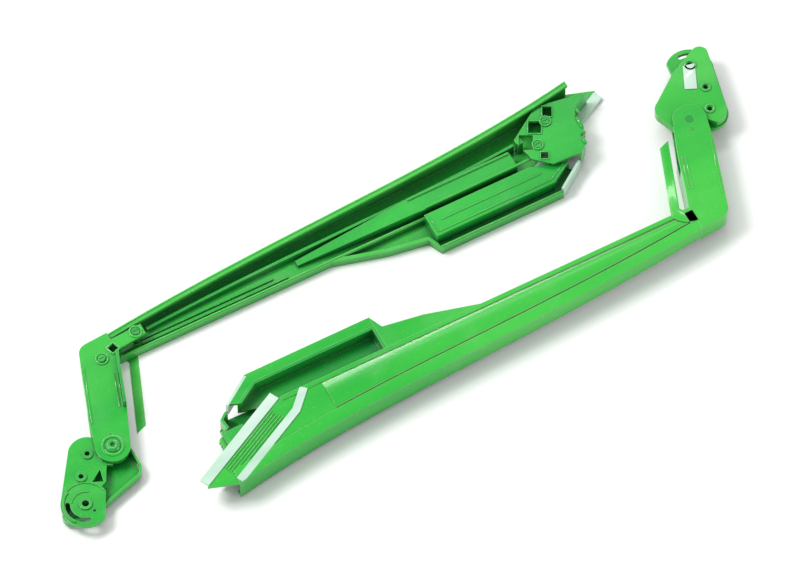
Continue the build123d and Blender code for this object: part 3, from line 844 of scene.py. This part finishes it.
@dataclass
class NeckTrim:
    """The ridges, collars and frame on the elbow and the neck.

    Attributes:
        bench: The bench that models the pieces.
        side: The hand.
    """

    bench: Bench
    side: Side
    plate_top: float = 19.0
    cover_face: float = 0.0
    ridge_height: float = 0.7
    cover_ridge: float = 0.35
    pin_top: float = 20.6
    sweep_low: float = 4.6
    sweep_high: float = 9.7
    sweep_start: float = 6.4
    sweep_bend: Spot = (-11.6, 9.1)
    sweep_stop: Spot = (4.0, 12.0)
    sweep_radius: float = 15.0
    sweep_width: float = 11.0
    ridge_width: float = 1.3
    cover_ridge_width: float = 1.5
    screw_reach: float = 22.0
    screw_inset: float = 13.0
    collar_radii: Spot = (6.0, 4.2)
    pivot_radii: Spot = (10.2, 7.6)
    rivet_radii: Spot = (5.0, 2.6)
    frame_radii: Spot = (6.9, 4.75)

    def from_start(self, dx: float, dy: float) -> Spot:
        """A point counted from where the arm's concave edge leaves the elbow."""
        return self.bench.layout.start_x + dx, self.bench.layout.inner_y + dy

    def ridges(self) -> None:
        """The long ridges beside both edges of the neck, on its plate and on its cover."""
        runs = (("outer", (-32.6, 1.0), (-50.0, -50.0)), ("inner", (-9.4, -16.0), (-19.4, -47.0)),
                ("middle", (-12.4, -14.5), (-22.2, -46.2)))
        for name, start, end in runs:
            here, there = self.from_start(*start), self.from_start(*end)
            piece = self.bench.bar(here, there, self.ridge_width, self.plate_top - SINK,
                                   self.plate_top + self.ridge_height)
            self.bench.finish(piece, self.side, f"neck_ridge_{name}", "arm", "shell_green")
            piece = self.bench.bar(here, there, self.cover_ridge_width, self.cover_face - self.cover_ridge,
                                   self.cover_face + SINK)
            self.bench.finish(piece, self.side, f"cover_ridge_{name}", "arm", "shell_green")

    def elbow_sweep(self) -> None:
        """The broad thin band off the elbow's cover, which stands clear of the neck."""
        layout = self.bench.layout
        middle = (layout.inner_y + self.sweep_low + layout.convex(layout.start_x) - self.sweep_high) / 2
        low, high = self.cover_face - self.cover_ridge, self.cover_face + SINK
        start = (layout.start_x + self.sweep_start, middle)
        bend = self.from_start(*self.sweep_bend)
        end = (layout.pivot[0] + self.sweep_stop[0], layout.pivot[1] + self.sweep_stop[1])
        turn = math.atan2(start[1] - bend[1], start[0] - bend[0])
        turn -= math.atan2(end[1] - bend[1], end[0] - bend[0])
        turn = math.pi - turn % (2 * math.pi)
        reach = self.sweep_radius * math.tan(turn / 2)
        foot = (bend[0] + reach, bend[1], low)
        piece = self.bench.sweep([(start[0], bend[1], low), foot], self.sweep_width, high - low)
        bpy.ops.mesh.spin(steps=16, angle=turn, axis=(0, 0, 1),
                          center=(foot[0] * MM, (foot[1] - self.sweep_radius) * MM, low * MM))
        along = Vector((end[0] - bend[0], end[1] - bend[1]))
        left = along.length - reach
        along.normalize()
        self.bench.push((along.x * left, along.y * left, 0.0))
        self.bench.finish(piece, self.side, "elbow_sweep", "arm", "shell_green", bevel=0.15)

    def collars(self) -> None:
        """The round collars at the elbow's screws and at the pivot."""
        layout = self.bench.layout
        first_x = layout.start_x + self.screw_reach
        spots = {"elbow_collar_1": (first_x, layout.convex(first_x) - self.screw_inset),
                 "elbow_collar_2": self.from_start(-15.0, 2.0)}
        for name, spot in spots.items():
            piece = self.bench.ring(spot, *self.collar_radii, self.plate_top - SINK, self.plate_top + 0.9)
            self.bench.finish(piece, self.side, name, "arm", "shell_green", bevel=0.25)
        piece = self.bench.ring(layout.pivot, *self.pivot_radii, self.plate_top - SINK, self.plate_top + 0.6)
        self.bench.finish(piece, self.side, "pivot_collar", "arm", "shell_green", bevel=0.2)
        piece = self.bench.ring(layout.pivot, *self.rivet_radii, self.pin_top - SINK, self.pin_top + 0.5)
        self.bench.finish(piece, self.side, "rivet_ring", "arm", "fixings", bevel=0.2)

    def square_frame(self) -> None:
        """The raised frame round the elbow's square hole."""
        piece = self.bench.ring(self.from_start(-2.0, 7.0), *self.frame_radii, self.plate_top - SINK,
                                self.plate_top + 0.8, sides=4, turn=math.radians(20 + 45))
        self.bench.finish(piece, self.side, "square_hole_frame", "arm", "shell_green", bevel=0.2)

    def build(self) -> None:
        """Model every piece."""
        self.ridges()
        self.elbow_sweep()
        self.collars()
        self.square_frame()


@dataclass
class WideEndTrim:
    """The window rims, collars, teeth and grip ribs of the wide end.

    Attributes:
        bench: The bench that models the pieces.
        side: The hand.
    """

    bench: Bench
    side: Side
    bracket_top: float = 22.0
    bracket_under: float = 19.6
    window_turn: float = -28.0
    rim_rise: float = 0.8
    grip_count: int = 5
    grip_pitch: float = 2.7
    skin_lift: float = 0.8

    def from_edge(self, dx: float, dy: float) -> Spot:
        """A point counted from the end of the convex edge."""
        layout = self.bench.layout
        return layout.end_x + dx, layout.convex(layout.end_x) + dy

    def window_rims(self) -> None:
        """The raised rims round the bracket's windows."""
        windows = ((-27.0, -18.0, 8.0, 10.0), (-44.0, -27.0, 11.0, 12.0), (-50.0, -56.0, 6.5, 6.5))
        for number, (dx, dy, width, depth) in enumerate(windows, start=1):
            piece = self.bench.frame_rim(self.from_edge(dx, dy), width, depth, math.radians(self.window_turn),
                                         self.bracket_top - SINK, self.bracket_top + self.rim_rise)
            self.bench.finish(piece, self.side, f"window_rim_{number}", "arm", "inner_green", bevel=0.2)

    def collars(self) -> None:
        """The collars round the bracket's screws."""
        for number, (dx, dy) in enumerate(((-33.0, -26.0), (-50.0, -43.7)), start=1):
            piece = self.bench.ring(self.from_edge(dx, dy), 5.4, 3.9, self.bracket_top - SINK,
                                    self.bracket_top + 1.2)
            self.bench.finish(piece, self.side, f"bracket_collar_{number}", "arm", "inner_green", bevel=0.2)

    def teeth(self) -> None:
        """The small teeth along the bracket's outer edge."""
        layout = self.bench.layout
        face = layout.end_x - 8.0
        rows = ((4.6, 30.0, 25.0), (0.4, 22.0, 10.0), (-2.6, 5.4, 4.0), (-5.0, 0.5, -5.0))
        for number, (dx, first, last) in enumerate(rows, start=1):
            start, end = (face + dx, layout.inner_y + first), (face + dx, layout.inner_y + last)
            piece = self.bench.bar(start, end, 3.0, self.bracket_under, self.bracket_top + 1.4)
            self.bench.finish(piece, self.side, f"end_tooth_{number}", "arm", "inner_green")

    def grip_ribs(self) -> None:
        """The fine ribs on the skin between the two pale facings."""
        layout = self.bench.layout
        for number in range(self.grip_count):
            out = -2.0 - number * self.grip_pitch
            start, end = layout.on_mitre(0.14, out), layout.on_mitre(0.78, out)
            piece = self.bench.bar(start, end, 1.2, 0.2, self.skin_lift + 0.1)
            self.bench.finish(piece, self.side, f"grip_rib_{number + 1}", "arm", "shell_green")

    def build(self) -> None:
        """Model every piece."""
        self.window_rims()
        self.collars()
        self.teeth()
        self.grip_ribs()


@dataclass
class TrayTrim:
    """The borders and beads of the tray beside the skin.

    Attributes:
        bench: The bench that models the pieces.
        side: The hand.
    """

    bench: Bench
    side: Side
    panel_top: float = 16.5
    wall_top: float = 10.0

    def from_end(self, dx: float, dy: float) -> Spot:
        """A point counted from the tray's wide end and its outer edge."""
        low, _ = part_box("left_side_tray")
        return self.bench.layout.end_x - 49.0 + dx, low.y / MM + dy

    def build(self) -> None:
        """Model every piece."""
        runs = {"panel_border_side": ((-116.0, 12.5), (-6.0, 12.5)),
                "panel_border_back": ((-116.0, 12.5), (-116.0, 29.0)),
                "panel_border_end": ((-6.0, 12.5), (10.5, 22.0)),
                "panel_ridge": ((-108.0, 22.0), (-10.0, 22.0))}
        for name, (start, end) in runs.items():
            piece = self.bench.bar(self.from_end(*start), self.from_end(*end), 1.3, self.panel_top - SINK,
                                   self.panel_top + 0.6)
            self.bench.finish(piece, self.side, name, "arm", "inner_green")
        piece = self.bench.bar(self.from_end(-118.0, 1.3), self.from_end(-2.0, 1.3), 1.3, self.wall_top - SINK,
                               self.wall_top + 0.6)
        self.bench.finish(piece, self.side, "tray_lip_bead", "arm", "shell_green")


@dataclass
class HeadTrim:
    """The pale plate painted as a highlight, the boss rings and the beads of the swinging head.

    Attributes:
        bench: The bench that models the pieces.
        side: The hand.
    """

    bench: Bench
    side: Side
    shell_face: float = 3.8
    plate_face: float = 15.2
    bolt: Spot = (-44.0, -37.0)

    def from_pivot(self, dx: float, dy: float) -> Spot:
        """A point of the head counted from its pivot."""
        return self.bench.layout.pivot[0] + dx, self.bench.layout.pivot[1] + dy

    def highlight_plate(self) -> None:
        """The pale plate on the outer face, a painted highlight where the head shows a reflection."""
        outline = ((-55.5, -30.6), (-28.8, -31.2), (-26.5, -19.5), (-30.5, -17.5), (-50.0, -21.0))
        corners = [self.from_pivot(*corner) for corner in outline]
        piece = self.bench.plate(corners, self.shell_face - 0.9, self.shell_face + 0.1)
        self.bench.finish(piece, self.side, "head_painted_highlight", "head", "pale_green", swings=True)

    def boss_rings(self) -> None:
        """The rings round the three bores on the outer face."""
        for name, spot, outer, inner in (("bolt", self.bolt, 5.6, 3.6), ("lug_a", (-36.0, -12.5), 4.8, 2.8),
                                         ("lug_c", (-21.8, 4.5), 4.8, 2.8)):
            piece = self.bench.ring(self.from_pivot(*spot), outer, inner, self.shell_face - 0.9,
                                    self.shell_face + SINK)
            self.bench.finish(piece, self.side, f"boss_ring_{name}", "head", "head_green", bevel=0.2,
                              swings=True)

    def beads(self) -> None:
        """The curved beads on the plate, round the handle's bolt."""
        centre = self.from_pivot(*self.bolt)
        for name, radius, first, last in (("rim", 20.0, 125.0, 238.0), ("slot", 11.6, 150.0, 250.0)):
            piece = self.bench.arc_bead(centre, radius, first, last, 1.0, self.plate_face - SINK,
                                        self.plate_face + 0.7)
            self.bench.finish(piece, self.side, f"plate_bead_{name}", "head", "head_green", swings=True)

    def build(self) -> None:
        """Model every piece."""
        self.highlight_plate()
        self.boss_rings()
        self.beads()


@dataclass
class CatchTrim:
    """The grips on the face of the thumb catch.

    Attributes:
        bench: The bench that models the pieces.
        side: The hand.
    """

    bench: Bench
    side: Side
    pitch: float = 3.6
    rise: float = 0.5

    def build(self) -> None:
        """Model the three grips."""
        low, high = (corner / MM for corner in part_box("left_thumb_catch"))
        middle = (low.y + high.y) / 2
        for number in range(3):
            line = middle + (number - 1) * self.pitch
            start, end = (high.x - 0.2, line), (high.x + self.rise, line)
            piece = self.bench.bar(start, end, 1.2, low.z + 1.0, high.z - 1.4)
            self.bench.finish(piece, self.side, f"catch_grip_{number + 1}", "catch", "catch_green")


# ---------------------------------------------------------------------------------------------- the pair
def dress_frame(finishes: dict[str, bpy.types.Material]) -> None:
    """Give every carried-over CAD node its finish.

    Args:
        finishes: The built materials by slot name.
    """
    for row in frame["record"]["subparts"]:
        node = frame["nodes"][row["node"]]
        node.data.materials.clear()
        node.data.materials.append(finishes[row["material_slot"]])
        log.info("dressed %s in %s", row["node"], row["material_slot"])


# ---------------------------------------------------------------------------------------------- studio
@dataclass
class Studio:
    """The plain floor, the soft lights and the camera.

    Attributes:
        azimuth: Where the camera stands round the pair, in degrees.
        elevation: Its height above the horizon, in degrees.
        distance: How far back it stands, in metres.
        lens: Its focal length, in millimetres.
        aim: The point that it looks at, in metres.
    """

    azimuth: float = -28.0
    elevation: float = 60.0
    distance: float = 5.0
    lens: float = 264.7
    aim: tuple[float, float, float] = (0.0034, 0.0012, 0.0134)

    def floor(self) -> None:
        """Lay the pale floor."""
        bpy.ops.object.select_all(action="DESELECT")
        bpy.ops.mesh.primitive_plane_add(size=12.0, location=(0, 0, CAD_BOUNDS[0][2] - 0.0002))
        plane = bpy.context.object
        plane.name = "studio_floor"
        material = bpy.data.materials.new("studio_floor")
        material.use_nodes = True
        shader = material.node_tree.nodes["Principled BSDF"]
        shader.inputs["Base Color"].default_value = (0.93, 0.93, 0.93, 1)
        shader.inputs["Roughness"].default_value = 0.9
        plane.data.materials.append(material)

    def lamp(self, name: str, place: tuple[float, float, float], target: tuple[float, float, float],
             size: tuple[float, float], power: float) -> None:
        """Hang a soft box.

        Args:
            name: The lamp's name.
            place: Where it hangs, in metres.
            target: The point that it faces, in metres.
            size: Its length and width, in metres.
            power: Its power, in watts.
        """
        data = bpy.data.lights.new(name, "AREA")
        data.shape = "RECTANGLE"
        data.size, data.size_y = size
        data.energy = power
        lamp = bpy.data.objects.new(name, data)
        lamp.location = place
        lamp.rotation_euler = (Vector(target) - Vector(place)).to_track_quat("-Z", "Y").to_euler()
        bpy.context.collection.objects.link(lamp)

    def lights(self) -> None:
        """Hang the lamps and set the even light of the room."""
        self.lamp("key_softbox", (-1.3, 0.9, 2.3), (0, 0, 0), (1.0, 1.0), 50.0)
        self.lamp("strip_softbox", (0.60, 1.66, 2.44), (0.60, 0, 0), (2.2, 0.20), 20.0)
        self.lamp("low_softbox", (1.6, -1.9, 0.9), (0, 0, 0), (1.4, 0.5), 12.0)
        world = bpy.data.worlds.new("studio")
        bpy.context.scene.world = world
        world.use_nodes = True
        world.node_tree.nodes["Background"].inputs[0].default_value = (1, 1, 1, 1)
        world.node_tree.nodes["Background"].inputs[1].default_value = 0.60

    def camera(self) -> None:
        """Stand the camera at its angle."""
        turn, rise = math.radians(self.azimuth), math.radians(self.elevation)
        back = Vector((math.sin(turn) * math.cos(rise), -math.cos(turn) * math.cos(rise), math.sin(rise)))
        data = bpy.data.cameras.new("camera")
        data.lens = self.lens
        data.sensor_width = 36.0
        camera = bpy.data.objects.new("camera", data)
        camera.location = Vector(self.aim) + back * self.distance
        camera.rotation_euler = back.to_track_quat("Z", "Y").to_euler()
        bpy.context.collection.objects.link(camera)
        bpy.context.scene.camera = camera

    def build(self) -> None:
        """Set the whole studio up."""
        self.floor()
        self.lights()
        self.camera()
        bpy.context.scene.view_settings.view_transform = "Standard"


def main() -> None:
    """Build the studio and the pair."""
    logging.basicConfig(level=logging.INFO, format="%(name)s: %(message)s")
    Studio().build()
    effects = Effects()
    finishes = {slot: finish.build(effects) for slot, finish in FINISHES.items()}
    dress_frame(finishes)
    bench = Bench(Layout.measure(), finishes)
    for side in Side:
        for trim in (ArmTrim, NeckTrim, WideEndTrim, TrayTrim, HeadTrim, CatchTrim):
            trim(bench, side).build()


if __name__ == "__main__":
    main()
